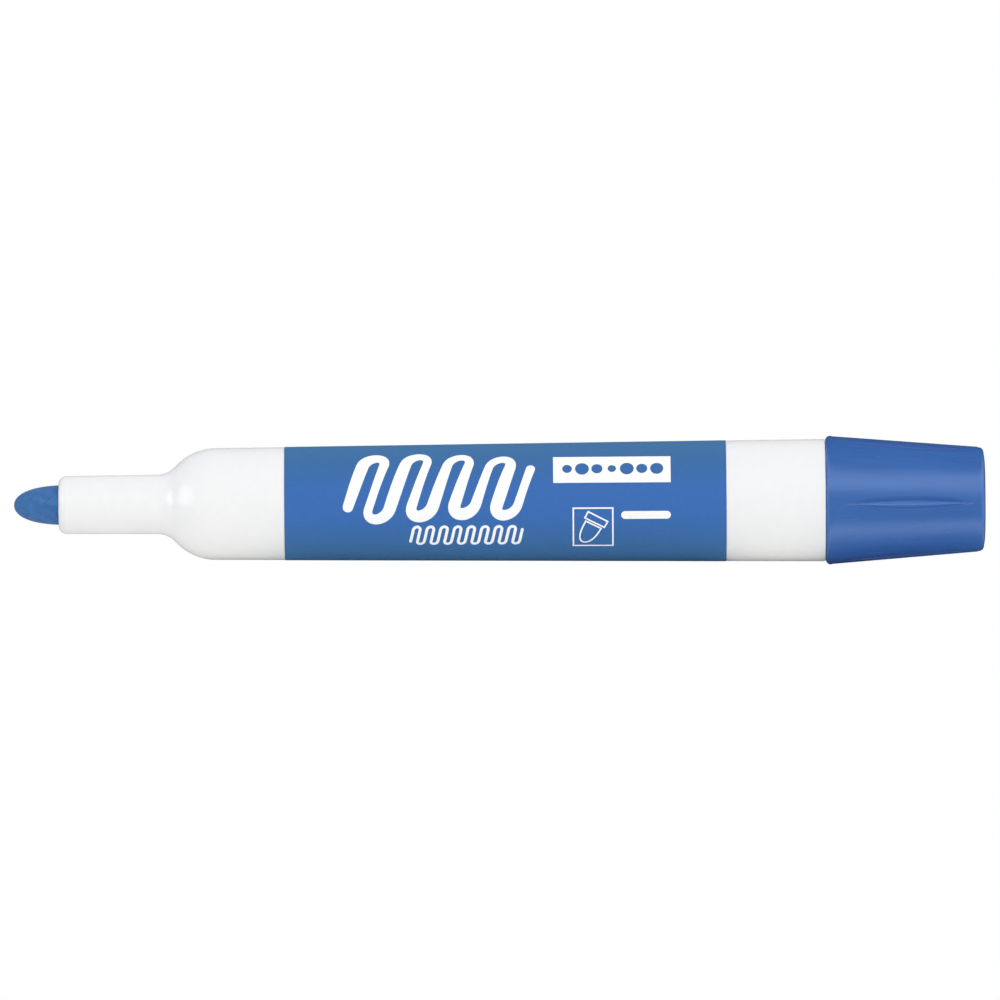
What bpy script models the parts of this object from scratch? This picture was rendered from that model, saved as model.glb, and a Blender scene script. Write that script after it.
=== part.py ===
"""A felt tip marker lying on its side, with its cap posted on the back end.

Metres, +Z up. The marker's axis runs along X, with the nib at -X and the cap at +X, at the height
where the widest part of the cap touches z = 0. Places along the marker are stations: distances
from the nib's tip, turned into X by x_at().
"""
import math

import bmesh
import bpy
from mathutils import Matrix, Vector

MM = 0.001

# Overall
TOTAL_LENGTH = 140.0 * MM
ROUND_STEPS = 60  # sides of the barrel, the plug and the cap, a multiple of the flutes and of four
SMOOTH_ANGLE = math.radians(30.0)
MERGE_DISTANCE = 0.001 * MM

# Nib: a fibre rod with a bullet nose
NIB_RADIUS = 2.9 * MM
NIB_LENGTH = 37.0 * MM
NIB_NOSE_LENGTH = 9.6 * MM
NIB_NOSE_FULLNESS = 3.1
NIB_NOSE_BLUNTNESS = 0.48
NIB_NOSE_RINGS = 12
NIB_TAIL_LENGTH = 3.0 * MM
NIB_TAIL_RADIUS = 1.4 * MM
NIB_STEPS = 36

# Barrel: nozzle, round shoulder and a body that widens to the back
NOZZLE_MOUTH = 6.45 * MM
NOZZLE_MOUTH_RADIUS = 4.175 * MM
NOZZLE_BASE_RADIUS = 4.275 * MM
NOZZLE_CORNER_RADIUS = 1.15 * MM
NOZZLE_LIP_LENGTH = 2.0 * MM
NIB_CLEARANCE = 0.08 * MM  # to the lip round the nozzle's mouth
NOZZLE_BORE_RADIUS = 3.35 * MM
SHOULDER_CENTRE = 29.2 * MM
SHOULDER_RADIUS = 8.05 * MM
SHOULDER_FILLET_RADIUS = 3.5 * MM
BARREL_BACK = 116.95 * MM
BARREL_BACK_RADIUS = 8.815 * MM
BARREL_WALL = 1.15 * MM

# Ribs moulded inside the barrel
RIB_COUNT = 6
RIB_THICKNESS = 0.8 * MM
NIB_RIB_CLEARANCE = 0.1 * MM
NIB_RIB_SLOPE = 0.5  # rise over run of the rib's back inside the shoulder
NIB_RIB_START = 8.0 * MM
NIB_RIB_OUTER_RADIUS = 3.8 * MM
STOP_RIB_START = 24.0 * MM
STOP_RIB_OUTER_RADIUS = 5.3 * MM
BODY_RIB_START = 40.0 * MM
BODY_RIB_END = 105.0 * MM
BODY_RIB_OUTER_RADIUS = 7.9 * MM

# Label: a film wrapped round the barrel, in a shallow recess, with its seam at the back
LABEL_START = 39.0 * MM
LABEL_END = 102.7 * MM
LABEL_RECESS = 0.08 * MM
LABEL_CLEARANCE = 0.03 * MM
LABEL_THICKNESS = 0.09 * MM
LABEL_EDGE_GAP = 0.05 * MM
LABEL_STEPS = 120

# Ink reservoir: a fibre rod in a thin film
RESERVOIR_START = 29.6 * MM
RESERVOIR_END = 109.5 * MM
RESERVOIR_RADIUS = 6.6 * MM
RESERVOIR_NIB_GAP = 0.1 * MM  # round the nib
RESERVOIR_HOLE_END_GAP = 0.3 * MM  # behind it
FILM_CLEARANCE = 0.05 * MM
FILM_THICKNESS = 0.13 * MM
RESERVOIR_STEPS = 36

# End plug: a skirt inside the barrel, a flange on its back face and a tapered stub for the cap
PLUG_START = 110.0 * MM
PLUG_CLEARANCE = 0.06 * MM
PLUG_SKIRT_TAPER = 0.25 * MM
PLUG_FLANGE_RADIUS = 7.98 * MM
PLUG_FLANGE_THICKNESS = 0.85 * MM
PLUG_END = 126.0 * MM
PLUG_END_CORNER = 0.8 * MM
PLUG_WALL = 1.1 * MM
PLUG_FIN_COUNT = 6
PLUG_FIN_INNER_RADIUS = 4.6 * MM
PLUG_FIN_OUTER_RADIUS = 6.4 * MM
PLUG_FIN_THICKNESS = 0.8 * MM

# Cap: a cone with five lens-shaped flutes
CAP_RIM = 117.0 * MM
CAP_RIM_RADIUS = 9.29 * MM
CAP_RIM_CORNER = 0.75 * MM
CAP_END_RADIUS = 7.48 * MM
CAP_END_CORNER = 0.6 * MM
CAP_END_CROWN = 0.15 * MM
CAP_END_FLAT_RADIUS = 5.0 * MM
CAP_END_WALL = 1.2 * MM
CAP_BORE_RIM_RADIUS = 8.15 * MM
CAP_BORE_END_RADIUS = 6.3 * MM
CAP_POST_CLEARANCE = 0.05 * MM  # round the end of the stub
CAP_POST_RELIEF = 0.2 * MM  # round its base
FLUTE_COUNT = 5
FLUTE_START = 119.6 * MM
FLUTE_END = 138.6 * MM
FLUTE_DEPTH = 0.42 * MM
FLUTE_WIDTH = 1.8 * MM
FLUTE_STEPS = 16
FLUTE_RINGS = 12
FIRST_FLUTE_ANGLE = math.radians(-4.0)  # below the -Y side

# Seal inside the cap: a base disc with a sleeve that closes round the nozzle
SEAL_CLEARANCE = 0.05 * MM
SEAL_BASE_RADIUS = 6.2 * MM
SEAL_BASE_THICKNESS = 0.8 * MM
SEAL_LENGTH = 12.0 * MM
SEAL_OUTER_RADIUS = 5.4 * MM
SEAL_BORE_RADIUS = 4.45 * MM
SEAL_BEAD_RADIUS = 4.3 * MM
SEAL_BEAD_DEPTH = 1.2 * MM
SEAL_BEAD_LENGTH = 0.6 * MM
SEAL_BEAD_RAMP = 0.3 * MM
SEAL_MOUTH_CHAMFER = 0.15 * MM
SEAL_STEPS = 48

AXIS_HEIGHT = CAP_RIM_RADIUS


def x_at(station):
    """X of a station, with the middle of the marker at X = 0."""
    return station - TOTAL_LENGTH / 2


def arc(centre, radius, start, end, steps):
    """Points (station, radius) of an arc, angles in degrees from the +X direction."""
    points = []
    for i in range(steps + 1):
        angle = math.radians(start + (end - start) * i / steps)
        points.append((centre[0] + radius * math.cos(angle), centre[1] + radius * math.sin(angle)))
    return points


def corner(station, radius, size, start, end, steps=4):
    """A rounded outer corner whose arc has its centre at (station, radius)."""
    return arc((station, radius), size, start, end, steps)


def body_radius(station):
    """Outer radius of the barrel's body, a cone that is tangent to the shoulder's sphere."""
    slope = (BARREL_BACK_RADIUS - SHOULDER_RADIUS) / (BARREL_BACK - SHOULDER_CENTRE)
    return SHOULDER_RADIUS + slope * (station - SHOULDER_CENTRE)


def cap_bore_radius(station):
    """Inner radius of the cap, tapered so that the moulding comes off its core."""
    depth = (station - CAP_RIM) / (TOTAL_LENGTH - CAP_END_WALL - CAP_RIM)
    return CAP_BORE_RIM_RADIUS + depth * (CAP_BORE_END_RADIUS - CAP_BORE_RIM_RADIUS)


def cap_outer_radius(station):
    """Outer radius of the cap's cone."""
    depth = (station - CAP_RIM) / (TOTAL_LENGTH - CAP_RIM)
    return CAP_RIM_RADIUS + depth * (CAP_END_RADIUS - CAP_RIM_RADIUS)


def make_material(name, colour, roughness):
    """A Principled material with one colour."""
    material = bpy.data.materials.new(name)
    material.use_nodes = True
    shader = material.node_tree.nodes["Principled BSDF"]
    shader.inputs["Base Color"].default_value = (*colour, 1.0)
    shader.inputs["Roughness"].default_value = roughness
    shader.inputs["Metallic"].default_value = 0.0
    return material


def add_object(name, mesh_builder, material, parent):
    """Turn a bmesh into a named object under its parent."""
    mesh = bpy.data.meshes.new(name)
    mesh_builder.to_mesh(mesh)
    mesh_builder.free()
    mesh.materials.append(material)
    mesh.shade_smooth()
    mesh.set_sharp_from_angle(angle=SMOOTH_ANGLE)
    thing = bpy.data.objects.new(name, mesh)
    bpy.context.scene.collection.objects.link(thing)
    thing.parent = parent
    return thing


def turned(section, steps, closed=True, sweep=2 * math.pi, start=0.0):
    """Spin a section of (station, radius) points about the marker's axis, local to that axis.

    A closed section is a ring's cross-section. An open one starts and ends on the axis.
    """
    shape = bmesh.new()
    turn = Matrix.Rotation(start, 3, "X")
    points = [turn @ Vector((x_at(s), 0.0, r)) for s, r in section]
    verts = [shape.verts.new(p) for p in points]
    pairs = zip(verts, verts[1:] + verts[:1]) if closed else zip(verts, verts[1:])
    edges = [shape.edges.new(pair) for pair in pairs]
    whole = sweep >= 2 * math.pi
    bmesh.ops.spin(
        shape,
        geom=verts + edges,
        cent=(0, 0, 0),
        axis=(1, 0, 0),
        angle=sweep,
        steps=steps,
        use_merge=whole,
        use_duplicate=False,
    )
    bmesh.ops.remove_doubles(shape, verts=shape.verts, dist=MERGE_DISTANCE)
    if not whole:
        open_edges = [e for e in shape.edges if e.is_boundary]
        bmesh.ops.holes_fill(shape, edges=open_edges, sides=len(section))
    bmesh.ops.recalc_face_normals(shape, faces=shape.faces)
    return shape


def plate(outline, thickness, angle):
    """A flat rib: an outline of (station, radius) points, extruded, turned about the axis."""
    shape = bmesh.new()
    verts = [shape.verts.new((x_at(s), -thickness / 2, r)) for s, r in outline]
    face = shape.faces.new(verts)
    grown = bmesh.ops.extrude_face_region(shape, geom=[face])
    moved = [v for v in grown["geom"] if isinstance(v, bmesh.types.BMVert)]
    bmesh.ops.translate(shape, verts=moved, vec=(0, thickness, 0))
    bmesh.ops.recalc_face_normals(shape, faces=shape.faces)
    bmesh.ops.rotate(shape, verts=shape.verts, cent=(0, 0, 0), matrix=Matrix.Rotation(angle, 3, "X"))
    return shape


def add_cutter(name, mesh_builder, parent):
    """A guide object that a Boolean reads and that is no part of the marker."""
    mesh = bpy.data.meshes.new(name)
    mesh_builder.to_mesh(mesh)
    mesh_builder.free()
    guide = bpy.data.objects.new(name, mesh)
    bpy.context.scene.collection.objects.link(guide)
    guide.parent = parent
    guide.hide_render = True
    guide.display_type = "WIRE"
    return guide


def boolean_all(thing, guides, operation):
    """Join guides to an object, or cut them out of it."""
    for i, guide in enumerate(guides):
        modifier = thing.modifiers.new(f"{operation.lower()} {i + 1}", "BOOLEAN")
        modifier.operation = operation
        modifier.solver = "EXACT"
        modifier.object = guide


def rectangle(start, end, inner, outer):
    """An outline of (station, radius) points with square corners."""
    return [(start, inner), (end, inner), (end, outer), (start, outer)]


def barrel_outline():
    """The barrel's cross-section, from the bore's front edge round the outside and back inside."""
    bore_lip = NIB_RADIUS + NIB_CLEARANCE
    fillet_height = NOZZLE_BASE_RADIUS + SHOULDER_FILLET_RADIUS
    reach = math.sqrt((SHOULDER_RADIUS + SHOULDER_FILLET_RADIUS) ** 2 - fillet_height**2)
    fillet_centre = (SHOULDER_CENTRE - reach, fillet_height)
    lean = math.degrees(math.atan2(fillet_height, reach))
    inner_sphere = SHOULDER_RADIUS - BARREL_WALL
    inner_start = math.degrees(math.asin(NOZZLE_BORE_RADIUS / inner_sphere))
    corner_centre = (NOZZLE_MOUTH + NOZZLE_CORNER_RADIUS, NOZZLE_MOUTH_RADIUS - NOZZLE_CORNER_RADIUS)
    outside = [(NOZZLE_MOUTH, bore_lip)]
    outside += corner(*corner_centre, NOZZLE_CORNER_RADIUS, 180, 90)
    outside += arc(fillet_centre, SHOULDER_FILLET_RADIUS, -90, -lean, 5)
    outside += arc((SHOULDER_CENTRE, 0), SHOULDER_RADIUS, 180 - lean, 90, 8)[1:]
    outside += [
        (LABEL_START, body_radius(LABEL_START)),
        (LABEL_START, body_radius(LABEL_START) - LABEL_RECESS),
        (LABEL_END, body_radius(LABEL_END) - LABEL_RECESS),
        (LABEL_END, body_radius(LABEL_END)),
        (BARREL_BACK, BARREL_BACK_RADIUS),
    ]
    inside = [(BARREL_BACK, BARREL_BACK_RADIUS - BARREL_WALL)]
    inside += arc((SHOULDER_CENTRE, 0), inner_sphere, 90, 180 - inner_start, 6)
    step_back = NOZZLE_MOUTH + NOZZLE_LIP_LENGTH
    inside += [(step_back + NOZZLE_BORE_RADIUS - bore_lip, NOZZLE_BORE_RADIUS), (step_back, bore_lip)]
    return outside + inside


def make_barrel(material, parent):
    """White moulding with the ribs that hold the nib and the reservoir."""
    barrel = add_object("barrel", turned(barrel_outline(), ROUND_STEPS), material, parent)
    edge = NIB_RADIUS + NIB_RIB_CLEARANCE
    slope_start = STOP_RIB_START - (STOP_RIB_OUTER_RADIUS - NIB_RIB_OUTER_RADIUS) / NIB_RIB_SLOPE
    nib_rib = [
        (NIB_RIB_START, edge),
        (SHOULDER_CENTRE, edge),
        (SHOULDER_CENTRE, STOP_RIB_OUTER_RADIUS),
        (STOP_RIB_START, STOP_RIB_OUTER_RADIUS),
        (slope_start, NIB_RIB_OUTER_RADIUS),
        (NIB_RIB_START, NIB_RIB_OUTER_RADIUS),
    ]
    rib_inner = RESERVOIR_RADIUS + FILM_CLEARANCE + FILM_THICKNESS + FILM_CLEARANCE
    body_rib = rectangle(BODY_RIB_START, BODY_RIB_END, rib_inner, BODY_RIB_OUTER_RADIUS)
    ribs = []
    for i in range(RIB_COUNT):
        angle = 2 * math.pi * i / RIB_COUNT
        ribs.append(add_cutter(f"nib rib {i + 1}", plate(nib_rib, RIB_THICKNESS, angle), parent))
        ribs.append(add_cutter(f"body rib {i + 1}", plate(body_rib, RIB_THICKNESS, angle), parent))
    boolean_all(barrel, ribs, "UNION")
    return barrel


def make_label(material, parent):
    """Printed film, one step short of a full turn so that its two edges nearly meet at +Y."""
    start, end = LABEL_START + LABEL_EDGE_GAP, LABEL_END - LABEL_EDGE_GAP
    lift = LABEL_CLEARANCE - LABEL_RECESS
    section = [
        (start, body_radius(start) + lift),
        (end, body_radius(end) + lift),
        (end, body_radius(end) + lift + LABEL_THICKNESS),
        (start, body_radius(start) + lift + LABEL_THICKNESS),
    ]
    step = 2 * math.pi / LABEL_STEPS
    seam = -math.pi / 2 + step / 2
    wrap = turned(section, LABEL_STEPS - 1, sweep=2 * math.pi - step, start=seam)
    return add_object("label", wrap, material, parent)


def nib_radius(distance):
    """Radius of the bullet nose at a distance from its tip."""
    rest = max(0.0, 1.0 - distance / NIB_NOSE_LENGTH)
    return NIB_RADIUS * (1.0 - rest**NIB_NOSE_FULLNESS) ** NIB_NOSE_BLUNTNESS


def make_nib(material, parent):
    """Fibre rod with a bullet nose in front and a blunt cone that enters the reservoir."""
    section = []
    for i in range(NIB_NOSE_RINGS + 1):
        distance = NIB_NOSE_LENGTH * (i / NIB_NOSE_RINGS) ** 2
        section.append((distance, nib_radius(distance)))
    section += [
        (NIB_LENGTH - NIB_TAIL_LENGTH, NIB_RADIUS),
        (NIB_LENGTH, NIB_TAIL_RADIUS),
        (NIB_LENGTH, 0.0),
    ]
    return add_object("nib", turned(section, NIB_STEPS, closed=False), material, parent)


def make_reservoir(fibre, film, parent):
    """Fibre rod with a blind hole for the nib, and the film round it."""
    hole = NIB_RADIUS + RESERVOIR_NIB_GAP
    hole_end = NIB_LENGTH + RESERVOIR_HOLE_END_GAP
    core = [
        (hole_end, 0.0),
        (hole_end, hole),
        (RESERVOIR_START, hole),
        (RESERVOIR_START, RESERVOIR_RADIUS),
        (RESERVOIR_END, RESERVOIR_RADIUS),
        (RESERVOIR_END, 0.0),
    ]
    inner = RESERVOIR_RADIUS + FILM_CLEARANCE
    wrap = rectangle(RESERVOIR_START, RESERVOIR_END, inner, inner + FILM_THICKNESS)
    return [
        add_object("reservoir_core", turned(core, RESERVOIR_STEPS, closed=False), fibre, parent),
        add_object("reservoir_film", turned(wrap, RESERVOIR_STEPS), film, parent),
    ]


def make_end_plug(material, parent):
    """Cup that closes the barrel, with the tapered stub that the cap is posted on."""
    skirt = BARREL_BACK_RADIUS - BARREL_WALL - PLUG_CLEARANCE
    skirt_front = skirt - PLUG_SKIRT_TAPER
    flange_start = BARREL_BACK + PLUG_CLEARANCE
    flange_end = flange_start + PLUG_FLANGE_THICKNESS
    stub_start = cap_bore_radius(flange_end) - CAP_POST_RELIEF
    stub_end = cap_bore_radius(PLUG_END) - CAP_POST_CLEARANCE
    end_corner = (PLUG_END - PLUG_END_CORNER, stub_end - PLUG_END_CORNER)
    section = [(PLUG_END, 0.0)]
    section += corner(*end_corner, PLUG_END_CORNER, 0, 90)
    section += [
        (flange_end, stub_start),
        (flange_end, PLUG_FLANGE_RADIUS),
        (flange_start, PLUG_FLANGE_RADIUS),
        (flange_start, skirt),
        (PLUG_START, skirt_front),
        (PLUG_START, skirt_front - PLUG_WALL),
        (flange_end, stub_start - PLUG_WALL),
        (PLUG_END - PLUG_WALL, stub_end - PLUG_WALL),
        (PLUG_END - PLUG_WALL, 0.0),
    ]
    plug = add_object("end_plug", turned(section, ROUND_STEPS, closed=False), material, parent)
    fin = rectangle(PLUG_START, PLUG_END - PLUG_WALL / 2, PLUG_FIN_INNER_RADIUS, PLUG_FIN_OUTER_RADIUS)
    fins = []
    for i in range(PLUG_FIN_COUNT):
        angle = 2 * math.pi * (i + 0.5) / PLUG_FIN_COUNT
        fins.append(add_cutter(f"plug fin {i + 1}", plate(fin, PLUG_FIN_THICKNESS, angle), parent))
    boolean_all(plug, fins, "UNION")
    return plug


def flute_cutter(angle):
    """A slender spindle that cuts one lens-shaped flute: deep in the middle, pointed at both ends."""
    half_width = FLUTE_WIDTH / 2
    middle = (half_width**2 + FLUTE_DEPTH**2) / (2 * FLUTE_DEPTH)
    lift = middle - FLUTE_DEPTH
    length = FLUTE_END - FLUTE_START
    shape = bmesh.new()
    verts = []
    for i in range(FLUTE_RINGS + 1):
        along = -1.0 + 2.0 * i / FLUTE_RINGS
        radius = lift + FLUTE_DEPTH * (1.0 - along**2)
        verts.append(shape.verts.new((along * length / 2, 0.0, radius)))
    verts.insert(0, shape.verts.new((-length / 2 - lift, 0.0, 0.0)))
    verts.append(shape.verts.new((length / 2 + lift, 0.0, 0.0)))
    edges = [shape.edges.new(pair) for pair in zip(verts, verts[1:])]
    bmesh.ops.spin(
        shape,
        geom=verts + edges,
        cent=(0, 0, 0),
        axis=(1, 0, 0),
        angle=2 * math.pi,
        steps=FLUTE_STEPS,
        use_merge=True,
        use_duplicate=False,
    )
    bmesh.ops.remove_doubles(shape, verts=shape.verts, dist=MERGE_DISTANCE)
    bmesh.ops.recalc_face_normals(shape, faces=shape.faces)
    centre = (FLUTE_START + FLUTE_END) / 2
    fall = math.atan2(CAP_RIM_RADIUS - CAP_END_RADIUS, TOTAL_LENGTH - CAP_RIM)
    place = (
        Matrix.Rotation(angle, 4, "X")
        @ Matrix.Translation((x_at(centre), 0.0, cap_outer_radius(centre) + lift))
        @ Matrix.Rotation(fall, 4, "Y")
    )
    bmesh.ops.transform(shape, verts=shape.verts, matrix=place)
    return shape


def make_cap_shell(material, parent):
    """Cap with a rounded rim and end, and the flutes that fingers grip."""
    end = TOTAL_LENGTH
    rim_corner = (CAP_RIM + CAP_RIM_CORNER, CAP_RIM_RADIUS - CAP_RIM_CORNER)
    end_corner = (end - CAP_END_CROWN - CAP_END_CORNER, CAP_END_RADIUS - CAP_END_CORNER)
    section = [(end, 0.0), (end, CAP_END_FLAT_RADIUS)]
    section += corner(*end_corner, CAP_END_CORNER, 0, 90)
    section += corner(*rim_corner, CAP_RIM_CORNER, 90, 180)
    section += [
        (CAP_RIM, CAP_BORE_RIM_RADIUS),
        (end - CAP_END_WALL, CAP_BORE_END_RADIUS),
        (end - CAP_END_WALL, 0.0),
    ]
    cap = add_object("cap_shell", turned(section, ROUND_STEPS, closed=False), material, parent)
    guides = []
    for i in range(FLUTE_COUNT):
        # the spindle starts at +Z, and a quarter turn about X takes it to -Y
        angle = math.pi / 2 - FIRST_FLUTE_ANGLE + 2 * math.pi * i / FLUTE_COUNT
        guides.append(add_cutter(f"flute cutter {i + 1}", flute_cutter(angle), parent))
    boolean_all(cap, guides, "DIFFERENCE")
    return cap


def make_cap_seal(material, parent):
    """Sleeve on a disc, with a raised bead inside its mouth that closes round the nozzle."""
    base = TOTAL_LENGTH - CAP_END_WALL - SEAL_CLEARANCE
    floor = base - SEAL_BASE_THICKNESS
    mouth = floor - SEAL_LENGTH + SEAL_BASE_THICKNESS
    bead = mouth + SEAL_BEAD_DEPTH
    section = [
        (base, 0.0),
        (base, SEAL_BASE_RADIUS),
        (floor, SEAL_BASE_RADIUS),
        (floor, SEAL_OUTER_RADIUS),
        (mouth + SEAL_MOUTH_CHAMFER, SEAL_OUTER_RADIUS),
        (mouth, SEAL_OUTER_RADIUS - SEAL_MOUTH_CHAMFER),
        (mouth, SEAL_BORE_RADIUS + SEAL_MOUTH_CHAMFER),
        (bead - SEAL_BEAD_RAMP, SEAL_BEAD_RADIUS),
        (bead + SEAL_BEAD_LENGTH - SEAL_BEAD_RAMP, SEAL_BEAD_RADIUS),
        (bead + SEAL_BEAD_LENGTH, SEAL_BORE_RADIUS),
        (floor, SEAL_BORE_RADIUS),
        (floor, 0.0),
    ]
    return add_object("cap_inner_seal", turned(section, SEAL_STEPS, closed=False), material, parent)


def main():
    for thing in list(bpy.data.objects):
        bpy.data.objects.remove(thing, do_unlink=True)

    axis = bpy.data.objects.new("marker axis", None)
    bpy.context.scene.collection.objects.link(axis)
    axis.location = (0.0, 0.0, AXIS_HEIGHT)
    cap_slide = bpy.data.objects.new("cap slide", None)
    bpy.context.scene.collection.objects.link(cap_slide)
    cap_slide.parent = axis

    white = make_material("white plastic", (0.92, 0.92, 0.91), 0.32)
    blue = make_material("blue plastic", (0.042, 0.130, 0.400), 0.3)
    print_film = make_material("label film", (0.053, 0.156, 0.440), 0.35)
    natural = make_material("natural plastic", (0.80, 0.80, 0.77), 0.4)
    stained_fibre = make_material("ink-stained fibre", (0.055, 0.160, 0.400), 0.9)
    pale_fibre = make_material("reservoir fibre", (0.30, 0.42, 0.66), 0.95)
    clear_film = make_material("wrap film", (0.75, 0.80, 0.86), 0.2)

    make_barrel(white, axis)
    make_label(print_film, axis)
    make_nib(stained_fibre, axis)
    make_reservoir(pale_fibre, clear_film, axis)
    make_end_plug(blue, axis)
    make_cap_shell(blue, cap_slide)
    make_cap_seal(natural, cap_slide)
    bpy.context.view_layer.update()


main()
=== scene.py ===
import math

import bmesh
import bpy
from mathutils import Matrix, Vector


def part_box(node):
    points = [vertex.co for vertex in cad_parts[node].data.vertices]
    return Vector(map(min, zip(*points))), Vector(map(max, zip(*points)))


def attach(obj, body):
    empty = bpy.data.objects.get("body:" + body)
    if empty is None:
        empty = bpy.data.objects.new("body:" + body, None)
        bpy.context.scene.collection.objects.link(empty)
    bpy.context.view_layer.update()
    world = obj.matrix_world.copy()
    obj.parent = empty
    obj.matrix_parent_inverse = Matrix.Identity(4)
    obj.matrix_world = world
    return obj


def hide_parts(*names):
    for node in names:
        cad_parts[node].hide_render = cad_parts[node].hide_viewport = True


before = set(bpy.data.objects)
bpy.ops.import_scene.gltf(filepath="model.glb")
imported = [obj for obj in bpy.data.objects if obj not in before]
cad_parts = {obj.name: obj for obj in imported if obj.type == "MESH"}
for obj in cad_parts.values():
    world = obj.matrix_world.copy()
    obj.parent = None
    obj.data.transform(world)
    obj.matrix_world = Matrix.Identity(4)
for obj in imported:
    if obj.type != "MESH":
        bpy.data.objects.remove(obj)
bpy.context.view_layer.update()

mm = 0.001
axisZ = sum(corner.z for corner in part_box("cap_shell")) / 2  # height of the marker's centre line
print("frame loaded")


# Helpers for making pieces

def deselectAll():
    if bpy.context.object and bpy.context.object.mode != "OBJECT":
        bpy.ops.object.mode_set(mode="OBJECT")
    bpy.ops.object.select_all(action="DESELECT")


def pickOnly(thing):
    deselectAll()
    thing.select_set(True)
    bpy.context.view_layer.objects.active = thing


def drawLine(name, points, closed=False):
    # one vertex, extruded from point to point
    deselectAll()
    bpy.ops.mesh.primitive_plane_add(size=1 * mm, location=(0, 0, 0))
    thing = bpy.context.object
    thing.name = name
    bpy.ops.object.mode_set(mode="EDIT")
    bpy.ops.mesh.select_mode(type="VERT")
    bpy.ops.mesh.select_all(action="SELECT")
    bpy.ops.mesh.merge(type="CENTER")
    bpy.ops.transform.translate(value=points[0])
    for before, after in zip(points, points[1:]):
        step = [b - a for a, b in zip(before, after)]
        bpy.ops.mesh.extrude_region_move(TRANSFORM_OT_translate={"value": step})
    bpy.ops.object.mode_set(mode="OBJECT")
    places = [Vector(point) for point in points]  # extruding doesn't keep the vertices in order
    for vertex in thing.data.vertices:
        number = min(range(len(places)), key=lambda i: (places[i] - vertex.co).length_squared)
        vertex.co = places[number]  # the exact place, without the sum of the steps
        vertex.select = number in (0, len(places) - 1)
    if closed:
        bpy.ops.object.mode_set(mode="EDIT")
        bpy.ops.mesh.edge_face_add()
        bpy.ops.object.mode_set(mode="OBJECT")
    return thing


def arcPoints(centre, radius, startAngle, endAngle, steps):  # (x, radius) points, angles in degrees
    found = []
    for i in range(steps + 1):
        angle = math.radians(startAngle + (endAngle - startAngle) * i / steps)
        found.append((centre[0] + radius * math.cos(angle), centre[1] + radius * math.sin(angle)))
    return found


def linePoints(start, end, steps):  # evenly spaced, both ends included
    return [tuple(a + (b - a) * i / steps for a, b in zip(start, end)) for i in range(steps + 1)]


def boxRadius(node):
    low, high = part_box(node)
    return (high.z - low.z) / 2


def smoothShade(thing, angle):
    pickOnly(thing)
    bpy.ops.object.shade_smooth_by_angle(angle=math.radians(angle))


def turnProfile(name, profile, steps, closed=False, sweep=360.0, startAngle=0.0, smooth=40.0):
    # spins (x, radius) points about the marker's centre line; less than a full turn gets end faces
    lean = math.radians(startAngle)
    points = [(x, r * math.sin(lean), axisZ + r * math.cos(lean)) for x, r in profile]
    thing = drawLine(name, points, closed)
    bpy.ops.object.mode_set(mode="EDIT")
    bpy.ops.mesh.select_all(action="SELECT")
    bpy.ops.mesh.spin(steps=steps, angle=math.radians(sweep), center=(0, 0, axisZ), axis=(1, 0, 0))
    bpy.ops.mesh.select_all(action="SELECT")
    bpy.ops.mesh.remove_doubles(threshold=0.0005 * mm)
    if sweep < 360.0:
        bpy.ops.mesh.select_all(action="DESELECT")
        bpy.ops.mesh.select_mode(type="EDGE")
        bpy.ops.mesh.select_non_manifold()
        bpy.ops.mesh.fill_holes(sides=0)
    bpy.ops.mesh.select_all(action="SELECT")
    bpy.ops.mesh.normals_make_consistent(inside=False)
    if bmesh.from_edit_mesh(thing.data).calc_volume(signed=True) < 0:
        bpy.ops.mesh.flip_normals()
    bpy.ops.object.mode_set(mode="OBJECT")
    smoothShade(thing, smooth)
    return thing


def finishPiece(thing, body, slot, material, *nodes):
    thing.data.materials.clear()
    thing.data.materials.append(material)
    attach(thing, body)
    for node in nodes:
        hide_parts(node)
    return thing


# Shader node groups and materials

def addNode(tree, kind, **values):
    node = tree.nodes.new(kind)
    for name, value in values.items():
        if hasattr(node, name):
            setattr(node, name, value)
        else:
            node.inputs[name.replace("_", " ")].default_value = value
    return node


def makeGroup(name, inputs, outputs):
    group = bpy.data.node_groups.new(name, "ShaderNodeTree")
    for label, kind, value in inputs:
        socket = group.interface.new_socket(label, in_out="INPUT", socket_type=kind)
        if value is not None:
            socket.default_value = value
    for label, kind in outputs:
        group.interface.new_socket(label, in_out="OUTPUT", socket_type=kind)
    start = group.nodes.new("NodeGroupInput")
    end = group.nodes.new("NodeGroupOutput")
    return group, start, end


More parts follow.
